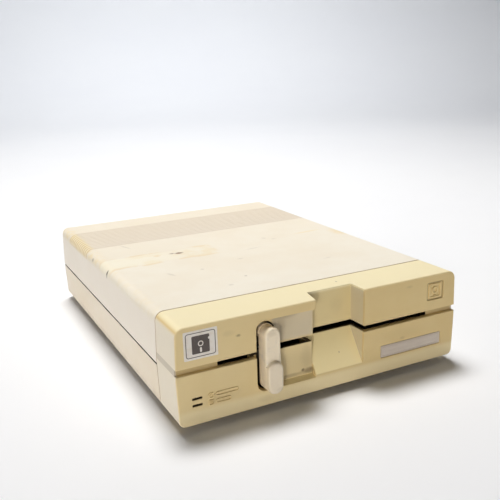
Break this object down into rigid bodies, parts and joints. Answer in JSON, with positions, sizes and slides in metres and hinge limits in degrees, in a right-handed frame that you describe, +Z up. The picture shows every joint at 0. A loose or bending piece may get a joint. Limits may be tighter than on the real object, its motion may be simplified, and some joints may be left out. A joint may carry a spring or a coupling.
{
  "type": "external floppy disk drive",
  "caption": "Low desktop drive for 5.25 inch floppy disks: two-part drafted case, bezel with full-width disk slot, finger notch and ramp, recessed turning lever, ribbed top.",
  "frame": {"origin": "on the table below the middle of the drive, at the centre of its bounding box in plan", "axes": "+X to the right of a person facing its front; +Y from the front to the back; +Z up"},
  "size_m": [0.184, 0.2618, 0.059],
  "materials": {
    "cream_shell": "fine moulded grain, lightly yellowed",
    "cream_base": "fine moulded grain",
    "aged_bezel": "fine moulded grain, aged to tan",
    "lever_plastic": "smooth, slightly worn",
    "badge_plate": "satin, blank",
    "rubber_foot": "matt",
    "green_lamp": "unlit",
    "red_lamp": "unlit",
    "plated_steel": "bright plated",
    "cast_alloy": "die cast",
    "white_nylon": "smooth",
    "black_plastic": "satin",
    "circuit_board": "lacquered",
    "ribbon_grey": "flexible, ribbed"
  },
  "bodies": {
    "case": {"top_cover": "cream_shell", "base_tray": "cream_base", "front_bezel": "aged_bezel", "foot_front_left": "rubber_foot", "foot_front_right": "rubber_foot", "foot_rear_left": "rubber_foot", "foot_rear_right": "rubber_foot", "case_screw_front_left": "plated_steel", "case_screw_front_right": "plated_steel", "case_screw_rear_left": "plated_steel", "case_screw_rear_right": "plated_steel", "power_lamp": "green_lamp", "drive_lamp": "red_lamp", "blank_badge": "badge_plate", "drive_chassis": "cast_alloy", "drive_screw_front_left": "plated_steel", "drive_screw_front_right": "plated_steel", "drive_screw_rear_left": "plated_steel", "drive_screw_rear_right": "plated_steel", "motor_board": "circuit_board", "spindle_bearing": "plated_steel", "clamp_hinge_pin": "plated_steel", "guide_rail_left": "plated_steel", "guide_rail_right": "plated_steel", "step_motor": "plated_steel", "write_protect_sensor": "black_plastic", "index_sensor": "black_plastic", "track_zero_sensor": "black_plastic", "drive_board": "circuit_board", "controller_board": "circuit_board", "chip_processor": "black_plastic", "chip_port_a": "black_plastic", "chip_port_b": "black_plastic", "chip_program": "black_plastic", "ribbon_cable": "ribbon_grey", "ribbon_plug_drive": "black_plastic", "ribbon_plug_board": "black_plastic", "serial_socket_left": "black_plastic", "serial_socket_right": "black_plastic", "power_socket": "black_plastic", "power_switch_body": "black_plastic", "selector_body": "black_plastic"},
    "lever": {"disk_lever": "lever_plastic", "lever_shaft": "plated_steel", "clamp_cam": "white_nylon"},
    "clamp": {"clamp_arm": "plated_steel"},
    "clamp_disc": {"clamp_hub": "white_nylon"},
    "spindle": {"spindle_hub": "white_nylon", "spindle_shaft": "plated_steel", "spindle_rotor": "plated_steel"},
    "carriage": {"head_carriage": "black_plastic", "lower_head": "plated_steel", "head_arm_pin": "plated_steel"},
    "upper_head": {"head_arm": "black_plastic", "pressure_pad": "white_nylon"},
    "screw": {"lead_screw": "plated_steel"},
    "rocker": {"power_rocker": "black_plastic"},
    "selector_left": {"selector_lever_left": "white_nylon"},
    "selector_right": {"selector_lever_right": "white_nylon"}
  },
  "joints": [
    {"name": "lever_turn", "type": "hinge", "parent": "case", "child": "lever", "pos_m": [-0.0381, -0.12318, 0.0454], "axis": [0, -1, 0], "range_deg": [0, 90]},
    {"name": "clamp_arm_lift", "type": "hinge", "parent": "case", "child": "clamp", "pos_m": [0, 0.03382, 0.049], "axis": [-1, 0, 0], "range_deg": [0, 2.1]},
    {"name": "clamp_disc_spin", "type": "hinge", "parent": "clamp", "child": "clamp_disc", "pos_m": [0, -0.04618, 0.035], "axis": [0, 0, 1], "continuous": true},
    {"name": "spindle_spin", "type": "hinge", "parent": "case", "child": "spindle", "pos_m": [0, -0.04618, 0.0339], "axis": [0, 0, 1], "continuous": true},
    {"name": "head_step", "type": "slide", "parent": "case", "child": "carriage", "axis": [0, -1, 0], "range_m": [0, 0.0206]},
    {"name": "lead_screw_turn", "type": "hinge", "parent": "case", "child": "screw", "pos_m": [0.022, 0.03382, 0.02995], "axis": [0, 1, 0], "range_deg": [0, 930]},
    {"name": "head_arm_lift", "type": "hinge", "parent": "carriage", "child": "upper_head", "pos_m": [0, 0.04882, 0.04095], "axis": [-1, 0, 0], "range_deg": [0, 4]},
    {"name": "power_rocker_tip", "type": "hinge", "parent": "case", "child": "rocker", "pos_m": [0.064, 0.12482, 0.0182], "axis": [1, 0, 0], "range_deg": [0, 16]},
    {"name": "selector_left_slide", "type": "slide", "parent": "case", "child": "selector_left", "axis": [0, 0, 1], "range_m": [0, 0.002]},
    {"name": "selector_right_slide", "type": "slide", "parent": "case", "child": "selector_right", "axis": [0, 0, 1], "range_m": [0, 0.002]}
  ],
  "couplings": [
    {"joint": "clamp_arm_lift", "follows": "lever_turn", "ratio": 0.023333},
    {"joint": "head_arm_lift", "follows": "lever_turn", "ratio": 0.044444},
    {"joint": "clamp_disc_spin", "follows": "spindle_spin", "ratio": 1},
    {"joint": "lead_screw_turn", "follows": "head_step", "rad_per_m": 785.4}
  ]
}
